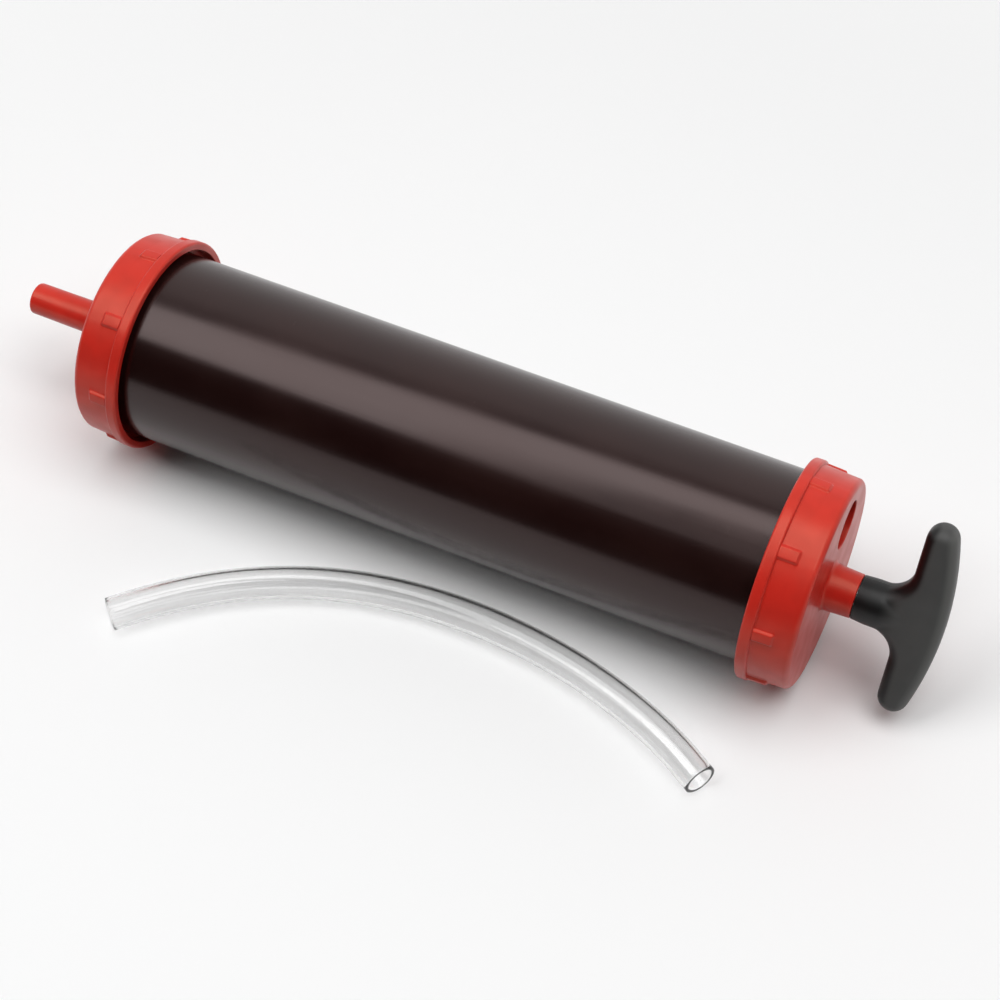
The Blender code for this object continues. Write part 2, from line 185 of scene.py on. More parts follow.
def smoothRoute(points, spacing):
    knots = [Vector(point) for point in points]
    knots = [2 * knots[0] - knots[1], *knots, 2 * knots[-1] - knots[-2]]
    fine = []
    for p0, p1, p2, p3 in zip(knots, knots[1:], knots[2:], knots[3:]):
        for step in range(20):
            t = step / 20
            fine.append(0.5 * (2 * p1 + (p2 - p0) * t + (2 * p0 - 5 * p1 + 4 * p2 - p3) * t * t
                               + (3 * p1 - p0 - 3 * p2 + p3) * t ** 3))
    fine.append(knots[-2])
    runs = [0.0]
    for before, after in zip(fine, fine[1:]):
        runs.append(runs[-1] + (after - before).length)
    count = round(runs[-1] / spacing)
    route, index = [], 0
    for step in range(count + 1):
        wanted = runs[-1] * step / count
        while index < len(runs) - 2 and runs[index + 1] < wanted:
            index += 1
        part = (wanted - runs[index]) / (runs[index + 1] - runs[index])
        route.append(fine[index].lerp(fine[index + 1], part))
    return route, runs[-1]


def makeHose():
    route, length = smoothRoute(hose["route"], hose["spacing"] * mm)
    outer, inner, edge = hose["outer"] / 2 * mm, hose["bore"] / 2 * mm, hose["edge"] * mm
    shape = bmesh.new()
    rings = []

    def addRing(place, tangent, radius):
        side = Vector((-tangent.y, tangent.x, 0))
        middle = Vector((place.x, place.y, outer))
        rings.append([shape.verts.new(
            middle + side * radius * cos(turn) + Vector((0, 0, radius * sin(turn))))
            for turn in evenAngles(hose["sides"])])

    tangents = [(after - before).normalized() for before, after in zip(route, route[1:])]
    tangents = [tangents[0], *[(a + b).normalized() for a, b in zip(tangents, tangents[1:])],
                tangents[-1]]
    first, last = (route[0], tangents[0]), (route[-1], tangents[-1])
    addRing(first[0], first[1], outer - edge)
    addRing(first[0] + first[1] * edge, first[1], outer)
    for place, tangent in zip(route[1:-1], tangents[1:-1]):
        addRing(place, tangent, outer)
    addRing(last[0] - last[1] * edge, last[1], outer)
    addRing(last[0], last[1], outer - edge)
    addRing(last[0], last[1], inner + edge)
    addRing(last[0] - last[1] * edge, last[1], inner)
    for place, tangent in zip(route[-2:0:-1], tangents[-2:0:-1]):
        addRing(place, tangent, inner)
    addRing(first[0] + first[1] * edge, first[1], inner)
    addRing(first[0], first[1], inner + edge)
    for ring, after in zip(rings, rings[1:] + rings[:1]):
        for j in range(hose["sides"]):
            k = (j + 1) % hose["sides"]
            shape.faces.new((ring[j], ring[k], after[k], after[j]))
    bmesh.ops.recalc_face_normals(shape, faces=shape.faces)
    mesh = bpy.data.meshes.new("hoseTube")
    shape.to_mesh(mesh)
    shape.free()
    piece = addPiece("hoseTube", mesh, "hose", "hose")
    smoothShade(piece)
    return piece


hoseTube = makeHose()
print("hose laid")


# barrel tube

tube = {
    "radius": 37.5,
    "wall": 2.5,
    "edge": 0.6,                 # broken edge of the sawn ends
    "sides": 256,
}


def makeBarrel():
    length = (barrelHigh[0] - barrelLow[0]) / mm
    outer, inner, edge = tube["radius"], tube["radius"] - tube["wall"], tube["edge"]
    outline = roundedOutline([(0, inner, edge), (0, outer, edge), (length, outer, edge),
                              (length, inner, edge)], 4)
    mesh = turnedMesh("barrelTube", outline, evenAngles(tube["sides"]), barrelLow[0])
    piece = addPiece("barrelTube", mesh, "barrel", "barrel")
    smoothShade(piece)
    return piece


barrelTube = makeBarrel()
print("barrel made")


# screw caps

cap = {
    "depth": 20.0,
    "endWall": 3.0,
    "flangeRadius": 43.0,
    "flangeWidth": 4.6,
    "flangeRound": 1.0,
    "bodyRadius": 41.5,
    "endRadius": 40.8,
    "endRound": 2.4,
    "stepFillet": 0.35,          # where the body meets the flange
    "mouthRadius": 39.9,
    "mouthDepth": 5.0,
    "boreRadius": 37.8,
    "ribs": 8,
    "ribWidth": 4.8,
    "ribEnd": 12.0,              # from the mouth
    "ribHeight": 1.1,
    "ribSlope": 0.7,             # width of a rib's rounded side
    "fill": 14,                  # mesh columns between two ribs
}
spigot = {
    "length": 42.0, "rootRadius": 6.7, "tipRadius": 6.4, "boreRadius": 4.4,
    "tipRound": 0.9, "boreRound": 0.4, "fillet": 1.5,
    "ribTurn": -11.0,            # first rib: degrees from straight up, negative towards +Y
}
collar = {
    "length": 11.5, "rootRadius": 9.1, "tipRadius": 8.5, "boreRadius": 6.3,
    "tipRound": 0.5, "boreRound": 0.4, "fillet": 1.6,
    "ribTurn": -17.0,
}
vent = {
    "radius": 9.5,
    "offset": 24.5,              # from the barrel's axis
    "turn": -35.0,               # degrees from straight up, negative towards +Y
    "flare": 0.5,                # softened outer edge
    "sides": 96,
}


def capOutline(neck):
    # from the neck's tip down its outer side to the mouth and back up inside
    tip = cap["depth"] + neck["length"]
    return roundedOutline([
        (tip, neck["boreRadius"], neck["boreRound"]),
        (tip, neck["tipRadius"], neck["tipRound"]),
        (cap["depth"], neck["rootRadius"], neck["fillet"]),
        (cap["depth"], cap["endRadius"], cap["endRound"]),
        (cap["ribEnd"] + cap["ribSlope"], bodyRadiusAt(cap["ribEnd"] + cap["ribSlope"]), 0),
        *[(cap["ribEnd"] + cap["ribSlope"] * part, bodyRadiusAt(cap["ribEnd"]), 0)
          for part in (0.7, 0.4, 0.15, -0.15, -0.4, -0.7, -1.0)],
        (cap["flangeWidth"] + 0.4, cap["bodyRadius"], 0),
        (cap["flangeWidth"], cap["bodyRadius"], cap["stepFillet"]),
        (cap["flangeWidth"], cap["flangeRadius"], cap["flangeRound"]),
        (0, cap["flangeRadius"], cap["flangeRound"]),
        (0, cap["mouthRadius"], 0.4),
        (cap["mouthDepth"], cap["mouthRadius"], 0),
        (cap["mouthDepth"], cap["boreRadius"], 0),
        (cap["depth"] - cap["endWall"], cap["boreRadius"], 0.5),
        (cap["depth"] - cap["endWall"], neck["boreRadius"], 0),
    ], 6)


def bodyRadiusAt(station):
    run = (station - cap["flangeWidth"]) / (cap["depth"] - cap["flangeWidth"])
    return cap["bodyRadius"] + (cap["endRadius"] - cap["bodyRadius"]) * run


def ease(value):
    value = min(1.0, max(0.0, value))
    return value * value * (3 - 2 * value)


def ribAngles(firstTurn):
    # columns close together at each rib's sides and wider between the ribs
    slope = cap["ribSlope"]
    half = cap["ribWidth"] / 2
    pitch = 2 * pi * cap["bodyRadius"] / cap["ribs"]
    sides = [half + slope * part for part in (-1, -0.66, -0.4, -0.2, 0, 0.2, 0.4, 0.66, 1)]
    gap = pitch - 2 * sides[-1]
    near = [-distance for distance in reversed(sides)] + [0] + sides
    far = [sides[-1] + gap * step / cap["fill"] for step in range(1, cap["fill"])]
    angles = []
    for rib in range(cap["ribs"]):
        middle = firstTurn + rib * 2 * pi / cap["ribs"]
        angles += [middle + along / cap["bodyRadius"] for along in near + far]
    return angles


def ribLift(firstTurn):
    pitch = 2 * pi / cap["ribs"]

    def lift(station, radius, angle):
        if radius < cap["endRadius"] - 0.1 or not cap["flangeWidth"] <= station + 0.01:
            return radius
        across = abs((angle - firstTurn + pitch / 2) % pitch - pitch / 2) * cap["bodyRadius"]
        side = ease((cap["ribWidth"] / 2 + cap["ribSlope"] - across) / (2 * cap["ribSlope"]))
        end = ease((cap["ribEnd"] + cap["ribSlope"] - station) / (2 * cap["ribSlope"]))
        return max(radius, bodyRadiusAt(station) + cap["ribHeight"] * side * end)
    return lift


def makeCap(name, neck, mouthX, direction, replaced):
    firstTurn = radians(neck["ribTurn"])
    mesh = turnedMesh(name, capOutline(neck), ribAngles(firstTurn), mouthX, direction,
                      ribLift(firstTurn))
    return addPiece(name, mesh, "barrel", replaced)


def makeVentCutter(faceX):
    turn = radians(vent["turn"])
    centreY = -vent["offset"] * mm * sin(turn)
    centreZ = axisHeight + vent["offset"] * mm * cos(turn)
    flare = vent["flare"]
    outline = [(-6.0, vent["radius"]), (-flare, vent["radius"])]
    for step in range(1, 7):
        turned = step * pi / 12
        outline.append((flare * (sin(turned) - 1), vent["radius"] + flare * (1 - cos(turned))))
    outline += [(1.0, vent["radius"] + flare)]
    shape = bmesh.new()
    rings = [[shape.verts.new((faceX + station * mm, centreY + radius * mm * cos(a),
                               centreZ + radius * mm * sin(a))) for a in evenAngles(vent["sides"])]
             for station, radius in outline]
    for ring, after in zip(rings, rings[1:]):
        for j in range(vent["sides"]):
            k = (j + 1) % vent["sides"]
            shape.faces.new((ring[j], ring[k], after[k], after[j]))
    shape.faces.new(rings[0])
    shape.faces.new(rings[-1])
    bmesh.ops.recalc_face_normals(shape, faces=shape.faces)
    mesh = bpy.data.meshes.new("ventCutter")
    shape.to_mesh(mesh)
    shape.free()
    cutter = bpy.data.objects.new("ventCutter", mesh)
    bpy.context.scene.collection.objects.link(cutter)
    return cutter


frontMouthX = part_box("front_cap")[1][0]
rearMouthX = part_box("rear_cap")[0][0]
frontCap = makeCap("frontCap", spigot, frontMouthX, -1, "front_cap")
smoothShade(frontCap)
rearCap = makeCap("rearCap", collar, rearMouthX, 1, "rear_cap")
cutHole(rearCap, makeVentCutter(rearMouthX + cap["depth"] * mm))
smoothShade(rearCap)
print("caps made")


# T-handle

grip = {
    "turn": -25.0,               # degrees from straight up, negative towards +Y
    "thickness": 13.5,
    "rim": 5.4,                  # round of the plate's edges
    "plateStart": 2.0,
    "neckHalf": 8.4,
    "armStart": 17.0,
    "armWidth": 11.8,
    "armSpan": 79.0,
    "armFillet": 10.0,
    "palmCrown": 4.4,
    "stemStart": 8.5,
    "stemRadius": 8.9,
    "stemSwell": 5.0,
    "stemStraight": 9.0,
    "stemEnd": 25.0,
    "stemEndRadius": 5.5,
    "stemSides": 96,
    "spare": 2.0,                # extra stem that is cut off to leave a clean end
    "voxel": 0.45,
    "softening": 14,             # smoothing steps that blend the stem into the plate
}


def gripOutline():
    tipRadius = grip["armWidth"] / 2
    tip = (grip["armSpan"] / 2 - tipRadius, grip["armStart"] + tipRadius)
    short = tipRadius + grip["palmCrown"]
    palmRadius = (short ** 2 + tip[0] ** 2 - tipRadius ** 2) / (2 * grip["palmCrown"])
    reach = grip["armStart"] + grip["armWidth"] + grip["palmCrown"]
    palmCentre = (0, reach - palmRadius)
    touch = atan2(tip[1] - palmCentre[1], tip[0])
    filletCentre = (grip["neckHalf"] + grip["armFillet"], grip["armStart"] - grip["armFillet"])
    half = [(grip["neckHalf"], grip["plateStart"])]
    half += arcPoints(filletCentre, grip["armFillet"], pi, -pi / 2, 12)
    half += arcPoints(tip, tipRadius, -pi / 2, touch + pi / 2, 20)
    half += arcPoints(palmCentre, palmRadius, touch, pi / 2 - touch, 12)[1:]
    return half + [(-across, along) for across, along in reversed(half[:-1])]


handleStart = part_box("handle")[0][0]


def makeHandle():
    shape = bmesh.new()
    half = grip["thickness"] / 2
    low = [shape.verts.new((along * mm, across * mm, -half * mm))
           for across, along in gripOutline()]
    high = [shape.verts.new((v.co.x, v.co.y, half * mm)) for v in low]
    shape.faces.new(low)
    shape.faces.new(high)
    for j in range(len(low)):
        k = (j + 1) % len(low)
        shape.faces.new((low[j], low[k], high[k], high[j]))
    bmesh.ops.recalc_face_normals(shape, faces=shape.faces)
    mesh = bpy.data.meshes.new("tHandle")
    shape.to_mesh(mesh)
    shape.free()
    plate = bpy.data.objects.new("tHandle", mesh)
    bpy.context.scene.collection.objects.link(plate)
    rim = plate.modifiers.new("rim", "BEVEL")
    rim.width = grip["rim"] * mm
    rim.segments = 8
    rim.limit_method = "ANGLE"
    rim.angle_limit = radians(40)
    rim.use_clamp_overlap = False
    stemShape = bmesh.new()
    stemOutline = [(-grip["spare"], grip["stemStart"]), (0, grip["stemStart"]),
                   (grip["stemSwell"], grip["stemRadius"]),
                   (grip["stemStraight"], grip["stemRadius"]),
                   (grip["stemEnd"], grip["stemEndRadius"])]
    rings = [[stemShape.verts.new((station * mm, radius * mm * cos(a), radius * mm * sin(a)))
              for a in evenAngles(grip["stemSides"])] for station, radius in stemOutline]
    for ring, after in zip(rings, rings[1:]):
        for j in range(grip["stemSides"]):
            k = (j + 1) % grip["stemSides"]
            stemShape.faces.new((ring[j], ring[k], after[k], after[j]))
    stemShape.faces.new(rings[0])
    stemShape.faces.new(rings[-1])
    bmesh.ops.recalc_face_normals(stemShape, faces=stemShape.faces)
    stemMesh = bpy.data.meshes.new("stem")
    stemShape.to_mesh(stemMesh)
    stemShape.free()
    stem = bpy.data.objects.new("stem", stemMesh)
    bpy.context.scene.collection.objects.link(stem)
    join = plate.modifiers.new("join", "BOOLEAN")
    join.operation = "UNION"
    join.solver = "EXACT"
    join.object = stem
    remesh = plate.modifiers.new("remesh", "REMESH")
    remesh.mode = "VOXEL"
    remesh.voxel_size = grip["voxel"] * mm
    soften = plate.modifiers.new("soften", "SMOOTH")
    soften.factor = 0.5
    soften.iterations = grip["softening"]
    settled = bpy.data.meshes.new_from_object(
        plate.evaluated_get(bpy.context.evaluated_depsgraph_get()))
    bpy.data.objects.remove(stem, do_unlink=True)
    bpy.data.objects.remove(plate, do_unlink=True)
    shape = bmesh.new()
    shape.from_mesh(settled)
    cut = bmesh.ops.bisect_plane(
        shape, geom=shape.verts[:] + shape.edges[:] + shape.faces[:], plane_co=(0, 0, 0),
        plane_no=(-1, 0, 0), clear_outer=True)["geom_cut"]
    bmesh.ops.contextual_create(shape, geom=[e for e in cut if isinstance(e, bmesh.types.BMEdge)])
    bmesh.ops.recalc_face_normals(shape, faces=shape.faces)
    shape.to_mesh(settled)
    shape.free()
    settled.transform(Matrix.Translation((handleStart, 0, axisHeight))
                      @ Matrix.Rotation(radians(90 + grip["turn"]), 4, "X"))
    piece = addPiece("tHandle", settled, "plunger", "handle")
    smoothShade(piece)
    return piece


tHandle = makeHandle()
print("handle made")


# materials

def linearColour(code):
    parts = [int(code[i:i + 2], 16) / 255 for i in (1, 3, 5)]
    return [p / 12.92 if p <= 0.04045 else ((p + 0.055) / 1.055) ** 2.4 for p in parts] + [1.0]


def addNode(tree, kind, settings=None, links=None):
    node = tree.nodes.new("ShaderNode" + kind)
    for name, value in (settings or {}).items():
        if isinstance(name, int) or name in node.inputs:
            node.inputs[name].default_value = value
        else:
            setattr(node, name, value)
    for name, source in (links or {}).items():
        output = source.outputs[0] if isinstance(source, bpy.types.Node) else source
        tree.links.new(output, node.inputs[name])
    return node


def startMaterial(name, settings):
    material = bpy.data.materials.new(name)
    material.use_nodes = True
    tree = material.node_tree
    shader = tree.nodes["Principled BSDF"]
    for setting, value in settings.items():
        shader.inputs[setting].default_value = value
    return material, tree, shader


def grain(tree, along, across, detail=3.0):
    # noise whose marks are so many mm long (along X) and so many mm wide
    place = addNode(tree, "TexCoord")
    sized = addNode(tree, "VectorMath", {
        "operation": "MULTIPLY", 1: (1 / (along * mm), 1 / (across * mm), 1 / (across * mm))},
        {0: place.outputs["Object"]})
    return addNode(tree, "TexNoise", {"Scale": 1.0, "Detail": detail}, {"Vector": sized})


def eased(low, high, start=0.3, end=0.7):
    # settings of a MapRange that eases a noise's usual span, or start to end, onto low to high
    return {"interpolation_type": "SMOOTHSTEP", "From Min": start, "From Max": end,
            "To Min": low, "To Max": high}


def paint(material, *pieces):
    for piece in pieces:
        piece.data.materials.clear()
        piece.data.materials.append(material)


tubeFinish = {
    "colour": "#1A0A09",
    "faded": "#21100E",
    "highlight": "#FFE7E5",
    "drawLine": 0.5,             # width of a line that the die leaves
    "drawLineLength": 70.0,
    "smudge": 22.0,              # width of a duller or glossier patch
}


def extrudedAbs():
    # Dark brown ABS tube, extruded: an even satin gloss with faint lines along its length.
    material, tree, shader = startMaterial("extrudedAbs", {
        "IOR": 1.5, "Specular Tint": linearColour(tubeFinish["highlight"])})
    lines = grain(tree, tubeFinish["drawLineLength"], tubeFinish["drawLine"])
    smudges = grain(tree, tubeFinish["smudge"] * 2, tubeFinish["smudge"], 4.0)
    scuffs = grain(tree, 0.6, 9.0, 2.0)
    patches = addNode(tree, "MapRange", eased(0.185, 0.235), {"Value": smudges})
    streaks = addNode(tree, "MapRange", eased(-0.015, 0.02), {"Value": lines})
    marks = addNode(tree, "MapRange", eased(0.0, 0.05, 0.66, 0.8), {"Value": scuffs})
    gloss = addNode(tree, "Math", {"operation": "ADD"}, {0: patches, 1: streaks})
    gloss = addNode(tree, "Math", {"operation": "ADD"}, {0: gloss, 1: marks})
    fading = addNode(tree, "MapRange", eased(0.0, 1.0), {"Value": smudges})
    colour = addNode(tree, "Mix", {
        "data_type": "RGBA", 6: linearColour(tubeFinish["colour"]),
        7: linearColour(tubeFinish["faded"])}, {0: fading})
    bump = addNode(tree, "Bump", {"Strength": 0.25, "Distance": 0.02 * mm}, {"Height": lines})
    tree.links.new(colour.outputs[2], shader.inputs["Base Color"])
    tree.links.new(gloss.outputs[0], shader.inputs["Roughness"])
    tree.links.new(bump.outputs[0], shader.inputs["Normal"])
    return material


capFinish = {
    "colour": "#CF2B21",
    "deep": "#C6281E",
    "worn": "#D84838",           # whitened skin on the edges
    "highlight": "#FFE3C4",
    "skin": 0.35,                # grain that the mould leaves
    "sink": 9.0,                 # slow waves of the shrunk wall
}


def mouldedPolypropylene():
    # Red polypropylene, injection moulded: satin, a slight orange-peel skin and softly worn edges.
    material, tree, shader = startMaterial("mouldedPolypropylene", {
        "IOR": 1.49, "Specular Tint": linearColour(capFinish["highlight"])})
    skin = grain(tree, capFinish["skin"], capFinish["skin"], 2.0)
    waves = grain(tree, capFinish["sink"], capFinish["sink"], 1.0)
    shape = addNode(tree, "NewGeometry")
    edges = addNode(tree, "MapRange", eased(0.0, 0.55, 0.53, 0.62),
                    {"Value": shape.outputs["Pointiness"]})
    depth = addNode(tree, "MapRange", eased(0.0, 1.0), {"Value": waves})
    body = addNode(tree, "Mix", {
        "data_type": "RGBA", 6: linearColour(capFinish["colour"]),
        7: linearColour(capFinish["deep"])}, {0: depth})
    colour = addNode(tree, "Mix", {"data_type": "RGBA", 7: linearColour(capFinish["worn"])},
                     {0: edges, 6: body.outputs[2]})
    gloss = addNode(tree, "MapRange", eased(0.31, 0.37), {"Value": waves})
    low = addNode(tree, "Bump", {"Strength": 0.25, "Distance": 0.08 * mm}, {"Height": waves})
    bump = addNode(tree, "Bump", {"Strength": 0.1, "Distance": 0.02 * mm},
                   {"Height": skin, "Normal": low})
    tree.links.new(colour.outputs[2], shader.inputs["Base Color"])
    tree.links.new(gloss.outputs[0], shader.inputs["Roughness"])
    tree.links.new(bump.outputs[0], shader.inputs["Normal"])
    return material


gripFinish = {
    # the dark colour stays on the stem and the curves that face the barrel as painted shade
    "colour": "#0E0E0E",
    "paintedLitBar": "#464645",         # the bar, paler as painted light
    "palm": "#565654",           # painted reflection on the rim that faces +X
    "grain": 0.45,               # spark-eroded texture, drawn a little coarse so that it shows
    "patch": 14.0,
    "seam": 0.22,                # half width of the mould's parting line
}


def texturedNylon():
    # Black nylon, moulded in a spark-eroded tool: finely pebbled, with a parting line round its
    # edge. The bar is painted paler as painted light, in random patches, and paler still on the
    # rim that faces +X as a painted reflection; the stem and the curves that face the barrel keep
    # the dark colour as painted shade. The grain also lowers the mirror gloss.
    material, tree, shader = startMaterial("texturedNylon", {
        "IOR": 1.53, "Specular IOR Level": 0.3})
    pebbles = grain(tree, gripFinish["grain"], gripFinish["grain"], 2.0)
    gripPatchNoise = grain(tree, gripFinish["patch"], gripFinish["patch"], 3.0)
    place = addNode(tree, "TexCoord")
    centred = addNode(tree, "VectorMath", {"operation": "SUBTRACT", 1: (0, 0, axisHeight)},
                      {0: place.outputs["Object"]})
    turned = addNode(tree, "VectorRotate", {
        "rotation_type": "X_AXIS", "Angle": -radians(90 + grip["turn"])}, {"Vector": centred})
    parts = addNode(tree, "SeparateXYZ", {}, {0: turned})
    off = addNode(tree, "Math", {"operation": "ABSOLUTE"}, {0: parts.outputs["Z"]})
    seam = addNode(tree, "MapRange", {
        "interpolation_type": "SMOOTHSTEP", "From Min": 0.0, "From Max": gripFinish["seam"] * mm,
        "To Min": 1.0, "To Max": 0.0}, {"Value": off})
    out = addNode(tree, "MapRange", {
        "interpolation_type": "SMOOTHSTEP", "From Min": (grip["armStart"] - 8) * mm,
        "From Max": grip["armStart"] * mm}, {"Value": addNode(tree, "Math", {
            "operation": "SUBTRACT", 1: handleStart}, {0: parts.outputs["X"]})})
    normal = addNode(tree, "SeparateXYZ", {}, {0: place.outputs["Normal"]})
    turnedAway = addNode(tree, "MapRange", eased(0.0, 1.0, -0.55, -0.1),
                         {"Value": normal.outputs["X"]})
    paintedLightPatches = addNode(tree, "MapRange", eased(0.85, 1.0), {"Value": gripPatchNoise})
    # painted light and shade: the bar turns paler in random patches, while the stem and the curves
    # that face the barrel keep the dark colour as painted shade
    paintedLitBar = addNode(tree, "Math", {"operation": "MULTIPLY"}, {0: turnedAway, 1: out})
    paintedLitBar = addNode(tree, "Math", {"operation": "MULTIPLY"}, {0: paintedLitBar, 1: paintedLightPatches})
    ridge = addNode(tree, "Bump", {"Strength": 0.8, "Distance": 0.12 * mm}, {"Height": seam})
    bump = addNode(tree, "Bump", {"Strength": 0.4, "Distance": 0.04 * mm},
                   {"Height": pebbles, "Normal": ridge})
    colour = addNode(tree, "Mix", {
        "data_type": "RGBA", 6: linearColour(gripFinish["colour"]),
        7: linearColour(gripFinish["paintedLitBar"])}, {0: paintedLitBar})
    # painted reflection: the rim that faces +X is paler
    palm = addNode(tree, "MapRange", eased(0.0, 1.0, 0.25, 0.75),
                   {"Value": normal.outputs["X"]})
    palm = addNode(tree, "Math", {"operation": "MULTIPLY"}, {0: palm, 1: out})
    colour = addNode(tree, "Mix", {"data_type": "RGBA", 7: linearColour(gripFinish["palm"])},
                     {0: palm, 6: colour.outputs[2]})
    gloss = addNode(tree, "MapRange", {"To Min": 0.42, "To Max": 0.5}, {"Value": paintedLitBar})
    tree.links.new(colour.outputs[2], shader.inputs["Base Color"])
    tree.links.new(gloss.outputs[0], shader.inputs["Roughness"])
    tree.links.new(bump.outputs[0], shader.inputs["Normal"])
    return material


hoseFinish = {
    "colour": "#F3F3F3",
    "ripple": 4.0,               # width of the faint ripples that the die leaves
    "rippleLength": 40.0,
    "shade": 0.16,               # how much light the wall keeps from what is behind it
}


def clearPvc():
    # Clear soft PVC, extruded: glassy, with long faint ripples from the die and a weak shadow.
    material, tree, shader = startMaterial("clearPvc", {
        "Base Color": linearColour(hoseFinish["colour"]), "IOR": 1.53,
        "Transmission Weight": 1.0})
    ripples = grain(tree, hoseFinish["rippleLength"], hoseFinish["ripple"], 2.0)
    bump = addNode(tree, "Bump", {"Strength": 0.04, "Distance": 0.04 * mm}, {"Height": ripples})
    rays = addNode(tree, "LightPath")
    opacity = addNode(tree, "MapRange", {"To Min": 1.0, "To Max": hoseFinish["shade"]},
                      {"Value": rays.outputs["Is Shadow Ray"]})
    tree.links.new(opacity.outputs[0], shader.inputs["Alpha"])
    gloss = addNode(tree, "MapRange", eased(0.04, 0.08), {"Value": ripples})
    tree.links.new(gloss.outputs[0], shader.inputs["Roughness"])
    tree.links.new(bump.outputs[0], shader.inputs["Normal"])
    return material


def platedSteel():
    # Drawn steel bar, bright zinc plated: lines along the bar under a faintly mottled plate.
    material, tree, shader = startMaterial("platedSteel", {"Metallic": 1.0})
    lines = grain(tree, 25.0, 0.25)
    mottle = grain(tree, 3.0, 3.0, 4.0)
    shade = addNode(tree, "MapRange", eased(0.0, 1.0), {"Value": mottle})
    colour = addNode(tree, "Mix", {
        "data_type": "RGBA", 6: linearColour("#C4C8CB"), 7: linearColour("#D2D3D2")}, {0: shade})
    cloudy = addNode(tree, "MapRange", eased(0.2, 0.28), {"Value": mottle})
    drawn = addNode(tree, "MapRange", eased(-0.03, 0.05), {"Value": lines})
    gloss = addNode(tree, "Math", {"operation": "ADD"}, {0: cloudy, 1: drawn})
    bump = addNode(tree, "Bump", {"Strength": 0.3, "Distance": 0.01 * mm}, {"Height": lines})
    tree.links.new(colour.outputs[2], shader.inputs["Base Color"])
    tree.links.new(gloss.outputs[0], shader.inputs["Roughness"])
    tree.links.new(bump.outputs[0], shader.inputs["Normal"])
    return material


def nitrileRubber():
    # Nitrile rubber, pressed: matt black with a fine dusty grain.
    material, tree, shader = startMaterial("nitrileRubber", {"IOR": 1.52})
    dust = grain(tree, 0.6, 0.6, 4.0)
    shade = addNode(tree, "MapRange", eased(0.0, 1.0), {"Value": dust})
    colour = addNode(tree, "Mix", {
        "data_type": "RGBA", 6: linearColour("#161616"), 7: linearColour("#222221")}, {0: shade})
    gloss = addNode(tree, "MapRange", eased(0.6, 0.75), {"Value": dust})
    bump = addNode(tree, "Bump", {"Strength": 0.3, "Distance": 0.03 * mm}, {"Height": dust})
    tree.links.new(colour.outputs[2], shader.inputs["Base Color"])
    tree.links.new(gloss.outputs[0], shader.inputs["Roughness"])
    tree.links.new(bump.outputs[0], shader.inputs["Normal"])
    return material


def turnedNylon():
    # Natural nylon, turned from bar: off-white, with fine rings from the cutting tool.
    material, tree, shader = startMaterial("turnedNylon", {"IOR": 1.53})
    rings = grain(tree, 0.3, 40.0, 1.0)
    shade = addNode(tree, "MapRange", eased(0.0, 1.0), {"Value": rings})
    colour = addNode(tree, "Mix", {
        "data_type": "RGBA", 6: linearColour("#D9D7CD"), 7: linearColour("#E2E1DA")}, {0: shade})
    gloss = addNode(tree, "MapRange", eased(0.38, 0.5), {"Value": rings})
    bump = addNode(tree, "Bump", {"Strength": 0.3, "Distance": 0.03 * mm}, {"Height": rings})
    tree.links.new(colour.outputs[2], shader.inputs["Base Color"])
    tree.links.new(gloss.outputs[0], shader.inputs["Roughness"])
    tree.links.new(bump.outputs[0], shader.inputs["Normal"])
    return material


paint(clearPvc(), hoseTube)
paint(extrudedAbs(), barrelTube)
paint(mouldedPolypropylene(), frontCap, rearCap)
paint(texturedNylon(), tHandle)
paint(platedSteel(), nodes["plunger_rod"], nodes["washer_front"], nodes["washer_rear"],
      nodes["piston_nut"])
paint(nitrileRubber(), nodes["front_gasket"], nodes["o_ring_front"], nodes["o_ring_rear"])
paint(turnedNylon(), nodes["piston"])
for node in nodes.values():
    node.data.shade_smooth()
    node.data.set_sharp_from_angle(angle=radians(35))
print("materials set")


# studio, all in metres

studio = {
    "floor": "#F8F8F8",
    "floorHalf": 6.0,
    "white": 0.94,               # the background as the camera sees it
    "glow": 0.92,                # the lit wall behind, as gloss shows it
    "overhead": 0.4,             # the darker ceiling round the lights, as gloss shows it
    "fill": 0.464,               # the wall behind as a light
    "frontFill": 0.096,          # the camera's side as a light
    "bounce": "#BDBDBD",         # the floor as it lights the object from below
    "whiteFrom": 0.24,           # distance from the middle where the floor turns to plain white
    "whiteTo": 0.55,
    "lightHeight": 1.6,
    "radiance": 3.4,
    "softbox": [                 # outline of the main light
        (-2.20, -0.75), (-0.80, 0.12), (-0.25, 0.45), (0.04, 0.52), (0.04, 0.02),
        (-0.20, -0.25), (-0.36, -0.72), (-0.60, -1.25), (-1.0, -1.18), (-2.20, -1.0),
    ],
    "sideLight": ((0.05, -0.65), (1.25, 0.45)),
    "flagDistance": 1.4,
    "flagTop": 38.0,             # degrees from straight up
    "flagColour": "#262626",
}


def addStage(name, corners, material):
    mesh = bpy.data.meshes.new(name)
    mesh.from_pydata(corners, [], [tuple(range(len(corners)))])
    piece = bpy.data.objects.new(name, mesh)
    bpy.context.scene.collection.objects.link(piece)
    paint(material, piece)
    return piece


def plainShader(name, kind, settings):
    material = bpy.data.materials.new(name)
    material.use_nodes = True
    material.node_tree.nodes.clear()
    surface = addNode(material.node_tree, kind, settings)
    output = addNode(material.node_tree, "OutputMaterial", {}, {"Surface": surface})
    return material, surface, output


def seenDirectly(tree):
    # 1 for the camera and for what gloss and clear plastic show, 0 for light on the object
    rays = addNode(tree, "LightPath")
    direct = addNode(tree, "Math", {"operation": "MAXIMUM"}, {
        0: rays.outputs["Is Camera Ray"], 1: rays.outputs["Is Glossy Ray"]})
    return addNode(tree, "Math", {"operation": "MAXIMUM"}, {
        0: direct, 1: rays.outputs["Is Transmission Ray"]})


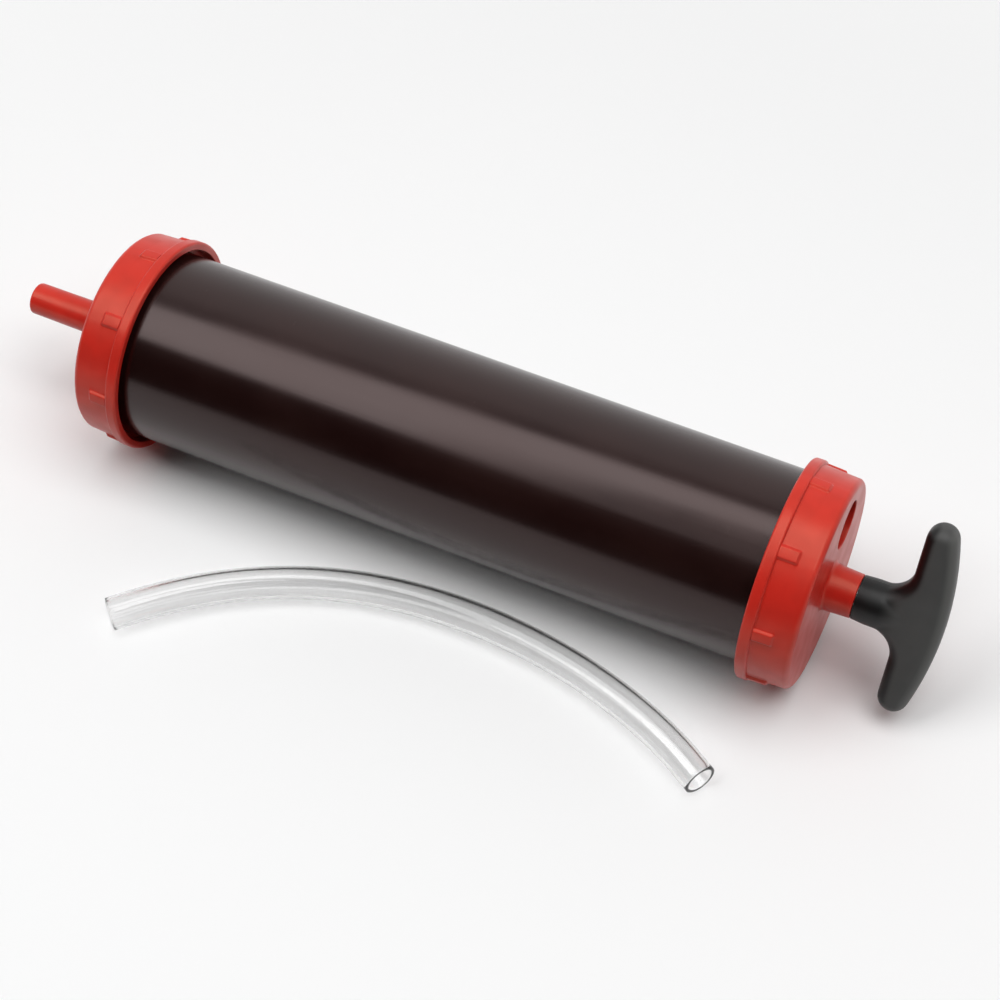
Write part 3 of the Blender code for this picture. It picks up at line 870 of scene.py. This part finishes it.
def makeFloor():
    half = studio["floorHalf"]
    material, paper, output = plainShader("paperSweep", "BsdfDiffuse", {})
    tree = material.node_tree
    direct = seenDirectly(tree)
    colour = addNode(tree, "Mix", {
        "data_type": "RGBA", 6: linearColour(studio["bounce"]),
        7: linearColour(studio["floor"])}, {0: direct})
    tree.links.new(colour.outputs[2], paper.inputs["Color"])
    place = addNode(tree, "NewGeometry")
    away = addNode(tree, "VectorMath", {"operation": "LENGTH"}, {0: place.outputs["Position"]})
    fade = addNode(tree, "MapRange", {
        "interpolation_type": "SMOOTHSTEP", "From Min": studio["whiteFrom"],
        "From Max": studio["whiteTo"]}, {"Value": away.outputs["Value"]})
    share = addNode(tree, "Math", {"operation": "MULTIPLY"}, {0: fade, 1: direct})
    white = addNode(tree, "Emission", {"Strength": studio["white"]})
    mixed = addNode(tree, "MixShader", {}, {0: share, 1: paper, 2: white})
    tree.links.new(mixed.outputs[0], output.inputs["Surface"])
    addStage("floor", [(-half, -half, 0), (half, -half, 0), (half, half, 0), (-half, half, 0)],
             material)


def makeWorld():
    world = bpy.data.worlds.new("studio")
    bpy.context.scene.world = world
    world.use_nodes = True
    tree = world.node_tree
    tree.nodes.clear()
    rays = addNode(tree, "LightPath")
    direction = addNode(tree, "TexCoord")
    rise = addNode(tree, "SeparateXYZ", {}, {0: direction.outputs["Generated"]})
    sky = addNode(tree, "MapRange", {
        "interpolation_type": "SMOOTHSTEP", "From Min": cos(radians(38)),
        "From Max": cos(radians(24)), "To Min": studio["glow"], "To Max": studio["overhead"]},
        {"Value": rise.outputs["Z"]})
    shown = addNode(tree, "Mix", {"data_type": "FLOAT", 3: studio["white"]},
                    {0: rays.outputs["Is Camera Ray"], 2: sky})
    fill = addNode(tree, "MapRange", {
        "interpolation_type": "SMOOTHSTEP", "From Min": -0.4, "From Max": 0.5,
        "To Min": studio["frontFill"], "To Max": studio["fill"]}, {"Value": rise.outputs["Y"]})
    strength = addNode(tree, "Mix", {"data_type": "FLOAT"},
                       {0: seenDirectly(tree), 2: fill, 3: shown})
    background = addNode(tree, "Background", {"Color": (1, 1, 1, 1)}, {"Strength": strength})
    addNode(tree, "OutputWorld", {}, {"Surface": background})


def makeLights():
    height = studio["lightHeight"]
    glow = plainShader("softboxCloth", "Emission", {"Strength": studio["radiance"]})[0]
    softbox = addStage("softbox", [(x, y, height) for x, y in studio["softbox"]], glow)
    softbox.visible_camera = False
    (lowX, lowY), (highX, highY) = studio["sideLight"]
    light = bpy.data.lights.new("sideLight", "AREA")
    light.shape = "RECTANGLE"
    light.size = highX - lowX
    light.size_y = highY - lowY
    light.energy = studio["radiance"] * pi * light.size * light.size_y
    lamp = bpy.data.objects.new("sideLight", light)
    bpy.context.scene.collection.objects.link(lamp)
    lamp.location = ((lowX + highX) / 2, (lowY + highY) / 2, height)
    lamp.visible_camera = False


def makeFlag():
    # a dark cloth on the camera's side, which the barrel's front reflects
    distance = studio["flagDistance"]
    top = distance / tan(radians(studio["flagTop"]))
    dark = {"Color": linearColour(studio["flagColour"])}
    cloth = plainShader("darkCloth", "BsdfDiffuse", dark)[0]
    flag = addStage("flag", [(-4, -distance, 0), (4, -distance, 0), (4, -distance, top),
                             (-4, -distance, top)], cloth)
    flag.visible_camera = False


makeFloor()
makeWorld()
makeLights()
makeFlag()
bpy.context.scene.view_settings.view_transform = "Standard"
print("studio lit")
